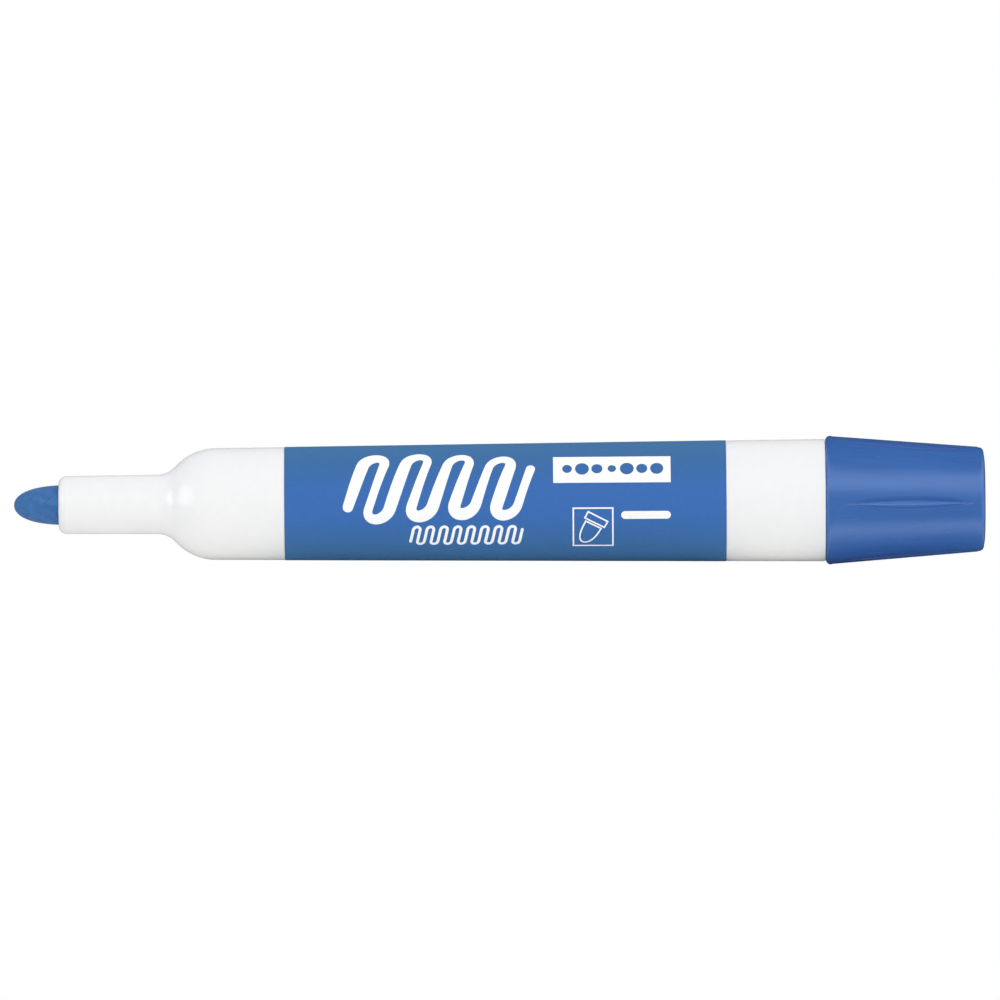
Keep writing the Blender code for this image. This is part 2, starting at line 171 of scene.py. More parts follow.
def makeMouldGrain():
    # fine texture of a moulded surface, drawn out along the marker by Stretch
    group, start, end = makeGroup(
        "mouldGrain",
        [
            ("Vector", "NodeSocketVector", None),
            ("Scale", "NodeSocketFloat", 3000.0),
            ("Stretch", "NodeSocketFloat", 1.0),
        ],
        [("Grain", "NodeSocketFloat"), ("Clouds", "NodeSocketFloat")],
    )
    link = group.links.new
    squeeze = addNode(group, "ShaderNodeMath", operation="DIVIDE")
    squeeze.inputs[0].default_value = 1.0
    link(start.outputs["Stretch"], squeeze.inputs[1])
    along = addNode(group, "ShaderNodeCombineXYZ", Y=1.0, Z=1.0)
    link(squeeze.outputs[0], along.inputs["X"])
    drawn = addNode(group, "ShaderNodeVectorMath", operation="MULTIPLY")
    link(start.outputs["Vector"], drawn.inputs[0])
    link(along.outputs[0], drawn.inputs[1])
    grain = addNode(group, "ShaderNodeTexNoise", Detail=3.0, Roughness=0.6)
    link(drawn.outputs[0], grain.inputs["Vector"])
    link(start.outputs["Scale"], grain.inputs["Scale"])
    wide = addNode(group, "ShaderNodeMath", operation="MULTIPLY")
    wide.inputs[1].default_value = 0.3
    link(start.outputs["Scale"], wide.inputs[0])
    clouds = addNode(group, "ShaderNodeTexNoise", Detail=4.0, Roughness=0.55)
    link(drawn.outputs[0], clouds.inputs["Vector"])
    link(wide.outputs[0], clouds.inputs["Scale"])
    link(grain.outputs["Fac"], end.inputs["Grain"])
    link(clouds.outputs["Fac"], end.inputs["Clouds"])
    return group


def makeHandling():
    # hairline scratches and dull patches from being handled
    group, start, end = makeGroup(
        "handling",
        [
            ("Vector", "NodeSocketVector", None),
            ("Scale", "NodeSocketFloat", 900.0),
            ("Amount", "NodeSocketFloat", 0.5),
        ],
        [("Scratches", "NodeSocketFloat"), ("Patches", "NodeSocketFloat")],
    )
    link = group.links.new
    total = None
    for turn, share in (((0.0, 0.03, 0.05), 1.0), ((0.0, -0.06, -0.09), 0.7)):
        mapping = addNode(group, "ShaderNodeMapping")
        mapping.inputs["Rotation"].default_value = turn
        mapping.inputs["Scale"].default_value = (0.03, 1.0, 1.0)
        link(start.outputs["Vector"], mapping.inputs["Vector"])
        noise = addNode(group, "ShaderNodeTexNoise", Detail=1.0)
        link(mapping.outputs[0], noise.inputs["Vector"])
        link(start.outputs["Scale"], noise.inputs["Scale"])
        thin = addNode(group, "ShaderNodeMapRange", clamp=True)
        thin.inputs["From Min"].default_value = 0.66
        thin.inputs["From Max"].default_value = 0.72
        thin.inputs["To Max"].default_value = share
        link(noise.outputs["Fac"], thin.inputs["Value"])
        if total is None:
            total = thin.outputs[0]
        else:
            joined = addNode(group, "ShaderNodeMath", operation="MAXIMUM")
            link(total, joined.inputs[0])
            link(thin.outputs[0], joined.inputs[1])
            total = joined.outputs[0]
    kept = addNode(group, "ShaderNodeMath", operation="MULTIPLY")
    link(total, kept.inputs[0])
    link(start.outputs["Amount"], kept.inputs[1])
    patch = addNode(group, "ShaderNodeTexNoise", Scale=160.0, Detail=5.0, Roughness=0.65)
    link(start.outputs["Vector"], patch.inputs["Vector"])
    spread = addNode(group, "ShaderNodeMapRange", clamp=True)
    spread.inputs["From Min"].default_value = 0.35
    spread.inputs["From Max"].default_value = 0.75
    link(patch.outputs["Fac"], spread.inputs["Value"])
    dulled = addNode(group, "ShaderNodeMath", operation="MULTIPLY")
    link(spread.outputs[0], dulled.inputs[0])
    link(start.outputs["Amount"], dulled.inputs[1])
    link(kept.outputs[0], end.inputs["Scratches"])
    link(dulled.outputs[0], end.inputs["Patches"])
    return group


def makeFibreGrain():
    # bonded fibres that run along the marker, with mottled ink
    group, start, end = makeGroup(
        "fibreGrain",
        [("Vector", "NodeSocketVector", None), ("Scale", "NodeSocketFloat", 9000.0)],
        [("Fibres", "NodeSocketFloat"), ("Mottle", "NodeSocketFloat")],
    )
    link = group.links.new
    drawn = addNode(group, "ShaderNodeMapping")
    drawn.inputs["Scale"].default_value = (0.12, 1.0, 1.0)
    link(start.outputs["Vector"], drawn.inputs["Vector"])
    fibres = addNode(group, "ShaderNodeTexNoise", Detail=4.0, Roughness=0.7, Distortion=0.4)
    link(drawn.outputs[0], fibres.inputs["Vector"])
    link(start.outputs["Scale"], fibres.inputs["Scale"])
    wide = addNode(group, "ShaderNodeMath", operation="MULTIPLY")
    wide.inputs[1].default_value = 0.1
    link(start.outputs["Scale"], wide.inputs[0])
    mottle = addNode(group, "ShaderNodeTexNoise", Detail=5.0, Roughness=0.6)
    link(start.outputs["Vector"], mottle.inputs["Vector"])
    link(wide.outputs[0], mottle.inputs["Scale"])
    link(fibres.outputs["Fac"], end.inputs["Fibres"])
    link(mottle.outputs["Fac"], end.inputs["Mottle"])
    return group


mouldGrain = makeMouldGrain()
handling = makeHandling()
fibreGrain = makeFibreGrain()


def placeGroup(tree, group, coords, **values):
    node = tree.nodes.new("ShaderNodeGroup")
    node.node_tree = group
    tree.links.new(coords, node.inputs["Vector"])
    for name, value in values.items():
        node.inputs[name].default_value = value
    return node


def newMaterial(name, **fixed):
    material = bpy.data.materials.new(name)
    material.use_nodes = True
    tree = material.node_tree
    shader = tree.nodes["Principled BSDF"]
    for label, value in fixed.items():
        shader.inputs[label.replace("_", " ")].default_value = value
    coords = tree.nodes.new("ShaderNodeTexCoord").outputs["Object"]
    return material, tree, shader, coords


def mixColours(tree, factor, low, high, start=0.3, end=0.7):
    # a colour between two, by a mask spread over start to end
    spread = addNode(tree, "ShaderNodeMapRange", clamp=True)
    spread.inputs["From Min"].default_value = start
    spread.inputs["From Max"].default_value = end
    tree.links.new(factor, spread.inputs["Value"])
    mix = addNode(tree, "ShaderNodeMix", data_type="RGBA")
    mix.inputs["A"].default_value = (*low, 1.0)
    mix.inputs["B"].default_value = (*high, 1.0)
    tree.links.new(spread.outputs[0], mix.inputs["Factor"])
    return mix.outputs["Result"]


def mixValues(tree, factor, low, high, start=0.0, end=1.0):
    spread = addNode(tree, "ShaderNodeMapRange", clamp=True)
    spread.inputs["From Min"].default_value = start
    spread.inputs["From Max"].default_value = end
    spread.inputs["To Min"].default_value = low
    spread.inputs["To Max"].default_value = high
    tree.links.new(factor, spread.inputs["Value"])
    return spread.outputs[0]


def addBump(tree, shader, height, strength, distance):
    bump = addNode(tree, "ShaderNodeBump", Strength=strength, Distance=distance)
    tree.links.new(height, bump.inputs["Height"])
    tree.links.new(bump.outputs["Normal"], shader.inputs["Normal"])


def makePlastic(name, look):
    material, tree, shader, coords = newMaterial(name, IOR=look["ior"])
    shader.inputs["Specular IOR Level"].default_value = look["shine"]
    shader.inputs["Diffuse Roughness"].default_value = look["flat"]
    grain = placeGroup(tree, mouldGrain, coords, Scale=look["grainScale"], Stretch=look["stretch"])
    marks = placeGroup(tree, handling, coords, Scale=look["scratchScale"], Amount=look["wearAndShade"])
    colour = mixColours(tree, grain.outputs["Clouds"], look["deep"], look["pale"])
    tree.links.new(colour, shader.inputs["Base Color"])
    worn = addNode(tree, "ShaderNodeMath", operation="MAXIMUM")
    tree.links.new(marks.outputs["Scratches"], worn.inputs[0])
    tree.links.new(marks.outputs["Patches"], worn.inputs[1])
    rough = mixValues(tree, worn.outputs[0], look["smooth"], look["dull"])
    tree.links.new(rough, shader.inputs["Roughness"])
    addBump(tree, shader, grain.outputs["Grain"], look["bump"], look["bumpDepth"])
    return material


def makeFibre(name, look):
    material, tree, shader, coords = newMaterial(name, Roughness=look["rough"])
    shader.inputs["Specular IOR Level"].default_value = look["shine"]
    shader.inputs["Sheen Weight"].default_value = look["sheen"]
    shader.inputs["Sheen Roughness"].default_value = 0.5
    grain = placeGroup(tree, fibreGrain, coords, Scale=look["scale"])
    ink = mixColours(tree, grain.outputs["Mottle"], look["deep"], look["pale"], 0.35, 0.65)
    strands = addNode(tree, "ShaderNodeMix", data_type="RGBA", blend_type="MULTIPLY")
    strands.inputs["Factor"].default_value = look["strands"]
    tree.links.new(ink, strands.inputs["A"])
    grey = mixColours(tree, grain.outputs["Fibres"], (0.72, 0.76, 0.82), (1.0, 1.0, 1.0))
    tree.links.new(grey, strands.inputs["B"])
    tree.links.new(strands.outputs["Result"], shader.inputs["Base Color"])
    addBump(tree, shader, grain.outputs["Fibres"], look["bump"], look["bumpDepth"])
    return material


def shadeSides(material, s):
    # painted shade: the label's colour turns towards s["tint"] away from the front and back of the label
    tree = material.node_tree
    shader = tree.nodes["Principled BSDF"]
    base = shader.inputs["Base Color"].links[0].from_socket
    split = tree.nodes.new("ShaderNodeSeparateXYZ")
    tree.links.new(tree.nodes.new("ShaderNodeTexCoord").outputs["Object"], split.inputs[0])
    height = addNode(tree, "ShaderNodeMath", operation="SUBTRACT")
    height.inputs[1].default_value = axisZ
    tree.links.new(split.outputs["Z"], height.inputs[0])
    away = addNode(tree, "ShaderNodeMath", operation="ABSOLUTE")
    tree.links.new(height.outputs[0], away.inputs[0])
    tint = mixColours(tree, away.outputs[0], (1.0, 1.0, 1.0), s["tint"], s["start"], s["end"])
    turned = addNode(tree, "ShaderNodeMix", data_type="RGBA", blend_type="MULTIPLY")
    turned.inputs["Factor"].default_value = 1.0
    tree.links.new(base, turned.inputs["A"])
    tree.links.new(tint, turned.inputs["B"])
    tree.links.new(turned.outputs["Result"], shader.inputs["Base Color"])


def paintFluteShade(material, s):
    # painted shade on the lips of the cap's flutes and a painted highlight on their floor, with rougher
    # lips, from the flute attribute that carveFlutes writes, -1 to 1
    tree = material.node_tree
    shader = tree.nodes["Principled BSDF"]
    wearAndShade = addNode(tree, "ShaderNodeAttribute", attribute_name="fluteShade").outputs["Fac"]
    turned = addNode(tree, "ShaderNodeMix", data_type="RGBA", blend_type="MULTIPLY")
    turned.inputs["Factor"].default_value = 1.0
    tree.links.new(shader.inputs["Base Color"].links[0].from_socket, turned.inputs["A"])
    tree.links.new(mixColours(tree, wearAndShade, s["lip"], s["floor"], -1.0, 1.0), turned.inputs["B"])
    tree.links.new(turned.outputs["Result"], shader.inputs["Base Color"])
    dulled = addNode(tree, "ShaderNodeMath", operation="MAXIMUM")
    tree.links.new(shader.inputs["Roughness"].links[0].from_socket, dulled.inputs[0])
    tree.links.new(mixValues(tree, wearAndShade, s["lipRough"], 0.0, -1.0, 0.0), dulled.inputs[1])
    tree.links.new(dulled.outputs[0], shader.inputs["Roughness"])


whiteLook = dict(deep=(0.886, 0.889, 0.896), pale=(0.905, 0.905, 0.905), ior=1.49, shine=0.05,
                 flat=0.45, smooth=0.22, dull=0.34, grainScale=2600.0, stretch=1.0, scratchScale=700.0,
                 wearAndShade=0.35, bump=0.06, bumpDepth=0.02 * mm)
blueLook = dict(deep=(0.034, 0.131, 0.420), pale=(0.040, 0.147, 0.455), ior=1.49, shine=0.6,
                flat=0.1, smooth=0.25, dull=0.36, grainScale=2600.0, stretch=16.0, scratchScale=2400.0,
                wearAndShade=0.22, bump=0.10, bumpDepth=0.02 * mm)
filmLook = dict(deep=(0.059, 0.192, 0.525), pale=(0.063, 0.201, 0.545), ior=1.45, shine=0.08,
                flat=1.0, smooth=0.48, dull=0.58, grainScale=5200.0, stretch=1.0, scratchScale=800.0,
                wearAndShade=0.4, bump=0.05, bumpDepth=0.01 * mm)
inkLook = dict(deep=(0.965, 0.97, 0.975), pale=(0.98, 0.98, 0.98), ior=1.45, shine=0.08,
               flat=1.0, smooth=0.48, dull=0.58, grainScale=9000.0, stretch=1.0, scratchScale=800.0,
               wearAndShade=0.4, bump=0.05, bumpDepth=0.01 * mm)
naturalLook = dict(deep=(0.74, 0.74, 0.70), pale=(0.82, 0.82, 0.79), ior=1.49, shine=0.5,
                   flat=0.3, smooth=0.34, dull=0.46, grainScale=2600.0, stretch=1.0, scratchScale=700.0,
                   wearAndShade=0.3, bump=0.08, bumpDepth=0.02 * mm)
nibLook = dict(deep=(0.040, 0.146, 0.370), pale=(0.064, 0.196, 0.475), rough=0.92, shine=0.25,
               sheen=0.12, scale=9000.0, strands=0.8, bump=0.5, bumpDepth=0.03 * mm)
reservoirLook = dict(deep=(0.20, 0.32, 0.58), pale=(0.34, 0.47, 0.70), rough=0.95, shine=0.2,
                     sheen=0.2, scale=7000.0, strands=0.9, bump=0.6, bumpDepth=0.05 * mm)
wrapLook = dict(deep=(0.70, 0.76, 0.83), pale=(0.78, 0.83, 0.88), ior=1.5, shine=0.5,
                flat=0.0, smooth=0.15, dull=0.30, grainScale=2600.0, stretch=3.0, scratchScale=700.0,
                wearAndShade=0.4, bump=0.05, bumpDepth=0.02 * mm)
# lip colour is a painted shade and floor colour a painted highlight, multiplied into the cap's blue
fluteShadeLook = dict(lip=(0.48, 0.66, 0.80), floor=(1.52, 1.34, 1.20), lipRough=0.42)
# the tint is painted shade on the top and bottom of the label
sidesLook = dict(tint=(1.0, 0.95, 0.70), start=2.125 * mm, end=8.5 * mm)  # heights from the centre line

whitePlastic = makePlastic("white plastic", whiteLook)
bluePlastic = makePlastic("blue plastic", blueLook)
# painted shade on the flute lips and painted highlight on the flute floors
paintFluteShade(bluePlastic, fluteShadeLook)
labelFilm = makePlastic("label film", filmLook)
shadeSides(labelFilm, sidesLook)
whiteInk = makePlastic("white print", inkLook)
naturalPlastic = makePlastic("natural plastic", naturalLook)
nibFibre = makeFibre("nib fibre", nibLook)
reservoirFibre = makeFibre("reservoir fibre", reservoirLook)
wrapFilm = makePlastic("wrap film", wrapLook)
print("materials made")


# Barrel: nozzle, round shoulder and body in one moulding

barrelShape = dict(mouthRadius=4.175 * mm, baseRadius=4.275 * mm, mouthCorner=1.15 * mm,
                   mouthLip=2.0 * mm, lipRadius=2.98 * mm, lipChamfer=0.08 * mm,
                   boreRadius=3.35 * mm, shoulderFromMouth=22.75 * mm, shoulderRadius=8.05 * mm,
                   fillet=3.5 * mm, wall=1.15 * mm, recess=0.08 * mm, edge=0.12 * mm, steps=256)
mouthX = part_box("barrel")[0].x
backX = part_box("barrel")[1].x
shoulderX = mouthX + barrelShape["shoulderFromMouth"]
bodySlope = (boxRadius("barrel") - barrelShape["shoulderRadius"]) / (backX - shoulderX)


def bodyRadius(x):
    return barrelShape["shoulderRadius"] + bodySlope * (x - shoulderX)


def barrelProfile():
    s = barrelShape
    labelStart, labelEnd = (corner.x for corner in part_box("label"))
    gap = 0.05 * mm
    recessStart, recessEnd = labelStart - gap, labelEnd + gap
    height = s["baseRadius"] + s["fillet"]
    reach = math.sqrt((s["shoulderRadius"] + s["fillet"]) ** 2 - height ** 2)
    lean = math.degrees(math.atan2(height, reach))
    cornerCentre = (mouthX + s["mouthCorner"], s["mouthRadius"] - s["mouthCorner"])
    backCorner = (backX - s["edge"], boxRadius("barrel") - s["edge"])
    innerRound = s["shoulderRadius"] - s["wall"]
    boreLean = math.degrees(math.asin(s["boreRadius"] / innerRound))
    profile = [(mouthX + s["lipChamfer"], s["lipRadius"]), (mouthX, s["lipRadius"] + s["lipChamfer"])]
    profile += arcPoints(cornerCentre, s["mouthCorner"], 180, 90, 14)
    profile += arcPoints((shoulderX - reach, height), s["fillet"], -90, -lean, 22)
    profile += arcPoints((shoulderX, 0.0), s["shoulderRadius"], 180 - lean, 90, 40)[1:]
    profile += [
        (recessStart - s["edge"], bodyRadius(recessStart - s["edge"])),
        (recessStart, bodyRadius(recessStart) - 0.03 * mm),
        (recessStart + 0.02 * mm, bodyRadius(recessStart) - s["recess"]),
        (recessEnd - 0.02 * mm, bodyRadius(recessEnd) - s["recess"]),
        (recessEnd, bodyRadius(recessEnd) - 0.03 * mm),
        (recessEnd + s["edge"], bodyRadius(recessEnd + s["edge"])),
    ]
    profile += arcPoints(backCorner, s["edge"], 90, 0, 5)
    profile += [(backX, boxRadius("barrel") - s["wall"])]
    profile += arcPoints((shoulderX, 0.0), innerRound, 90, 180 - boreLean, 16)
    lipEnd = mouthX + s["mouthLip"]
    profile += [(lipEnd + s["boreRadius"] - s["lipRadius"], s["boreRadius"]), (lipEnd, s["lipRadius"])]
    return profile


barrel = turnProfile("barrel_moulding", barrelProfile(), barrelShape["steps"], closed=True, smooth=32.0)
finishPiece(barrel, "marker_body", "white_plastic", whitePlastic, "barrel")
print("barrel made")


# Label: printed film round the barrel, with its seam at the back

labelShape = dict(lift=0.03 * mm, thickness=0.09 * mm, edge=0.02 * mm, steps=357, seamDegrees=3.0)


def labelRadius(x):  # outside of the film
    return bodyRadius(x) - barrelShape["recess"] + labelShape["lift"] + labelShape["thickness"]


def labelProfile():
    s = labelShape
    start, end = (corner.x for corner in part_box("label"))
    profile = [(start, labelRadius(start) - s["thickness"])]
    profile += [(start, labelRadius(start) - s["edge"]), (start + s["edge"], labelRadius(start))]
    profile += linePoints((start + 1 * mm, labelRadius(start + 1 * mm)),
                          (end - 1 * mm, labelRadius(end - 1 * mm)), 24)
    profile += [(end - s["edge"], labelRadius(end)), (end, labelRadius(end) - s["edge"])]
    profile += [(end, labelRadius(end) - s["thickness"])]
    return profile


seam = labelShape["seamDegrees"]
label = turnProfile("label_film", labelProfile(), labelShape["steps"], closed=True,
                    sweep=360.0 - seam, startAngle=90.0 + seam / 2)
finishPiece(label, "marker_body", "label_film", labelFilm, "label")
print("label made")


# Nib: a fibre rod with a bullet nose

nibShape = dict(radius=2.9 * mm, noseLength=9.6 * mm, fullness=3.1, bluntness=0.48,
                tail=3.0 * mm, tailRadius=1.4 * mm, rings=60, steps=128)


def nibProfile():
    s = nibShape
    tipX, endX = (corner.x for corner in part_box("nib"))
    profile = []
    for i in range(s["rings"] + 1):
        along = s["noseLength"] * (i / s["rings"]) ** 2
        rest = 1.0 - along / s["noseLength"]
        profile.append((tipX + along, s["radius"] * (1.0 - rest ** s["fullness"]) ** s["bluntness"]))
    profile += linePoints((tipX + s["noseLength"] + 1 * mm, s["radius"]),
                          (endX - s["tail"], s["radius"]), 8)
    profile += [(endX, s["tailRadius"]), (endX, 0.0)]
    return profile


nib = turnProfile("bullet_nib", nibProfile(), nibShape["steps"])
finishPiece(nib, "marker_body", "nib_fibre", nibFibre, "nib")
print("nib made")


# Cap: a cone with five lens-shaped flutes

capShape = dict(rimCorner=0.75 * mm, endRadius=7.48 * mm, endCorner=0.7 * mm, crown=0.18 * mm,
                flat=5.0 * mm, endWall=1.2 * mm, boreRim=8.15 * mm, boreEnd=6.3 * mm,
                boreEdge=0.1 * mm, boreFoot=0.4 * mm,
                flutes=5, firstFlute=-4.0, fluteFromRim=2.6 * mm, fluteFromEnd=1.4 * mm,
                fluteDepth=0.62 * mm, fluteWidth=1.8 * mm, fluteBottom=0.3, fluteSoft=0.012 * mm,
                crowd=0.6, rings=84, steps=450)
rimX, capEndX = (corner.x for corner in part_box("cap_shell"))
rimRadius = boxRadius("cap_shell")


def capOuter(x):
    return rimRadius + (capShape["endRadius"] - rimRadius) * (x - rimX) / (capEndX - rimX)


def capProfile():
    s = capShape
    endCentre = (capEndX - s["crown"] - s["endCorner"], s["endRadius"] - s["endCorner"])
    rimCentre = (rimX + s["rimCorner"], rimRadius - s["rimCorner"])
    profile = [(capEndX, 0.0)] + linePoints((capEndX, 0.5 * mm), (capEndX, s["flat"]), 8)
    for i in range(1, 6):  # crown between the flat middle and the round corner
        out = i / 6
        profile.append((capEndX - s["crown"] * out ** 2, s["flat"] + (endCentre[1] - s["flat"]) * out))
    profile += arcPoints(endCentre, s["endCorner"], 0, 86, 12)
    coneStart, coneEnd = endCentre[0], rimCentre[0]
    profile += linePoints((coneStart, capOuter(coneStart)), (coneEnd, capOuter(coneEnd)), s["rings"])[1:-1]
    profile += arcPoints(rimCentre, s["rimCorner"], 90, 180, 12)
    boreEndX = capEndX - s["endWall"]
    profile += [(rimX, s["boreRim"] + s["boreEdge"]), (rimX + s["boreEdge"], s["boreRim"])]
    profile += linePoints((rimX + 2 * mm, s["boreRim"] - 0.17 * mm),
                          (boreEndX - s["boreFoot"], s["boreEnd"]), 10)
    profile += [(boreEndX, s["boreEnd"] - s["boreFoot"]), (boreEndX, 0.0)]
    return profile


def carveFlutes(thing):
    # presses the flutes into the cone: a rounded V across, pointed at both ends
    s = capShape
    start, end = rimX + s["fluteFromRim"], capEndX - s["fluteFromEnd"]
    pitch = 360 / s["flutes"]
    full = math.hypot(1, s["fluteBottom"])
    # point attribute holding the flutes' painted shade (lips) and painted highlight (floor)
    wearAndShade = thing.data.attributes.new("fluteShade", "FLOAT", "POINT")
    for vertex in thing.data.vertices:
        x, y, z = vertex.co
        radius = math.hypot(y, z - axisZ)
        angle = math.degrees(math.atan2(z - axisZ, -y))
        nearest = (angle - s["firstFlute"] + pitch / 2) % pitch - pitch / 2
        # the mesh's points are drawn together where a flute needs them
        moved = -s["crowd"] * pitch / (2 * math.pi) * math.sin(2 * math.pi * nearest / pitch)
        carved = 0.0
        along = 2 * (x - start) / (end - start) - 1
        if radius > capOuter(x) - 0.05 * mm and abs(along) < 1.2:
            room = 1 - along ** 2
            across = 2 * radius * math.radians(nearest + moved) / s["fluteWidth"]
            depth = full * room - math.hypot(across, s["fluteBottom"] * room)
            depth *= s["fluteDepth"] / (full - s["fluteBottom"])
            carved = (depth + math.hypot(depth, s["fluteSoft"])) / 2
            carved *= min(1.0, (1.2 - abs(along)) / 0.2)
            if room > 0:
                across = abs(across)
                # painted highlight along each flute's floor and painted shade along its lips
                floorHighlight = math.exp(-(across / (0.4 * room)) ** 2) * min(1.0, 2.0 * room)
                lipShade = math.exp(-((across - 0.8 * room) / 0.28) ** 2) * min(1.0, 1.5 * room)
                wearAndShade.data[vertex.index].value = floorHighlight - lipShade
        turned = math.radians(angle + moved)
        left = radius - carved
        vertex.co = (x, -left * math.cos(turned), axisZ + left * math.sin(turned))
    thing.data.update()


cap = turnProfile("cap_moulding", capProfile(), capShape["steps"], smooth=50.0)
carveFlutes(cap)
finishPiece(cap, "cap", "blue_plastic", bluePlastic, "cap_shell")
print("cap made")


# Sleeve inside the cap that seals on the nozzle

sealShape = dict(baseThickness=0.8 * mm, outer=5.4 * mm, bore=4.45 * mm, bead=4.3 * mm,
                 beadDepth=1.2 * mm, beadRadius=0.35 * mm, steps=160)


def sealProfile():
    s = sealShape
    mouth, base = (corner.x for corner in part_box("cap_inner_seal"))
    floor = base - s["baseThickness"]
    wallMiddle = (s["outer"] + s["bore"]) / 2
    lip = (s["outer"] - s["bore"]) / 2
    bead = (mouth + s["beadDepth"], s["bead"] + s["beadRadius"])
    profile = [(base, 0.0), (base, boxRadius("cap_inner_seal") - 0.1 * mm)]
    profile += [(base - 0.1 * mm, boxRadius("cap_inner_seal")), (floor, boxRadius("cap_inner_seal"))]
    profile += arcPoints((floor - 0.3 * mm, s["outer"] + 0.3 * mm), 0.3 * mm, 0, -90, 5)
    profile += arcPoints((mouth + lip, wallMiddle), lip, 90, 270, 14)
    profile += arcPoints(bead, s["beadRadius"], 215, 325, 9)
    profile += arcPoints((floor - 0.3 * mm, s["bore"] - 0.3 * mm), 0.3 * mm, 90, 0, 5)
    profile += [(floor, 0.0)]
    return profile


seal = turnProfile("cap_seal_sleeve", sealProfile(), sealShape["steps"], smooth=35.0)
finishPiece(seal, "cap", "natural_plastic", naturalPlastic, "cap_inner_seal")


# End plug, with the stub that the cap is posted on

plugShape = dict(skirt=7.605 * mm, skirtTaper=0.25 * mm, flange=0.85 * mm, relief=0.2 * mm,
                 clearance=0.05 * mm, corner=0.8 * mm, wall=1.1 * mm, edge=0.1 * mm, steps=192)


def capBore(x):
    s = capShape
    share = (x - rimX) / (capEndX - s["endWall"] - rimX)
    return s["boreRim"] + (s["boreEnd"] - s["boreRim"]) * share


def plugProfile():
    s = plugShape
    start, end = (corner.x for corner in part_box("end_plug"))
    flangeStart = backX + 0.06 * mm
    flangeEnd = flangeStart + s["flange"]
    flangeRadius = boxRadius("end_plug")
    stubStart, stubEnd = capBore(flangeEnd) - s["relief"], capBore(end) - s["clearance"]
    profile = [(end, 0.0)] + linePoints((end, 1 * mm), (end, stubEnd - s["corner"] - 0.3 * mm), 4)
    profile += arcPoints((end - s["corner"], stubEnd - s["corner"]), s["corner"], 0, 90, 10)
    profile += [(flangeEnd, stubStart), (flangeEnd, flangeRadius - s["edge"])]
    profile += [(flangeEnd - s["edge"], flangeRadius), (flangeStart + s["edge"], flangeRadius)]
    profile += [(flangeStart, flangeRadius - s["edge"]), (flangeStart, s["skirt"])]
    profile += [(start, s["skirt"] - s["skirtTaper"]), (start, s["skirt"] - s["skirtTaper"] - s["wall"])]
    profile += [(flangeEnd, stubStart - s["wall"]), (end - s["wall"], stubEnd - s["wall"])]
    profile += [(end - s["wall"], 0.0)]
    return profile


plug = turnProfile("end_plug_moulding", plugProfile(), plugShape["steps"], smooth=35.0)
finishPiece(plug, "marker_body", "blue_plastic", bluePlastic, "end_plug")
print("seal and plug made")


# Ink reservoir: a fibre rod with a blind hole for the nib, in a film

reservoirShape = dict(hole=3.0 * mm, holeGap=0.3 * mm, edge=0.5 * mm, filmThickness=0.13 * mm,
                      filmRadius=6.78 * mm, steps=128)


def reservoirProfile():
    s = reservoirShape
    start, end = (corner.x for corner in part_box("reservoir_core"))
    radius = boxRadius("reservoir_core")
    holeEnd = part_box("nib")[1].x + s["holeGap"]
    profile = [(holeEnd, 0.0), (holeEnd, s["hole"]), (start + s["edge"], s["hole"])]
    profile += [(start, s["hole"] + s["edge"])]
    profile += arcPoints((start + s["edge"], radius - s["edge"]), s["edge"], 180, 90, 5)
    profile += linePoints((start + 2 * mm, radius), (end - 2 * mm, radius), 20)
    profile += arcPoints((end - s["edge"], radius - s["edge"]), s["edge"], 90, 0, 5)
    profile += [(end, 0.0)]
    return profile


def wrapProfile():
    s = reservoirShape
    start, end = (corner.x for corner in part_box("reservoir_film"))
    outer = boxRadius("reservoir_film")
    inner = outer - s["filmThickness"]
    return linePoints((start, outer), (end, outer), 20) + linePoints((end, inner), (start, inner), 20)


reservoir = turnProfile("fibre_reservoir", reservoirProfile(), reservoirShape["steps"])
finishPiece(reservoir, "marker_body", "reservoir_fibre", reservoirFibre, "reservoir_core")
wrap = turnProfile("reservoir_wrap", wrapProfile(), reservoirShape["steps"], closed=True)
finishPiece(wrap, "marker_body", "wrap_film", wrapFilm, "reservoir_film")
print("reservoir made")


# Printed marks: flat shapes with height measured round the label, then wrapped on it

printShape = dict(sunk=0.012 * mm, raised=0.018 * mm, slice=0.3 * mm)
scribble = dict(left=-21.6 * mm, pitch=3.05 * mm, strokes=9, lean=0.34, width=1.5 * mm, swell=0.2,
                tops=(5.7, 6.0, 5.8, 5.3, 5.0), bottoms=(-0.6, -0.9, -0.5, -0.2, -0.4))
ripple = dict(left=-11.6 * mm, pitch=0.98 * mm, strokes=17, lean=0.2, width=0.42 * mm, swell=0.0,
              tops=(-4.1,), bottoms=(-6.1,))
panel = dict(left=7.75 * mm, right=24.65 * mm, low=2.75 * mm, high=7.25 * mm,
             dots=(0.7, 1.0, 0.8, 0.6, 1.0, 0.8, 0.95), dotPitch=2.15 * mm)
icon = dict(left=10.5 * mm, right=16.4 * mm, low=-7.2 * mm, high=-0.85 * mm, line=0.22 * mm,
            lean=-28.0, nibX=13.55 * mm, nibV=-3.35 * mm, nibWidth=2.7 * mm, nibLength=3.5 * mm,
            collarWidth=3.4 * mm, collarGap=0.15 * mm, collarHeight=1.25 * mm)
bar = dict(left=17.5 * mm, right=24.65 * mm, middle=-2.0 * mm, width=1.15 * mm)


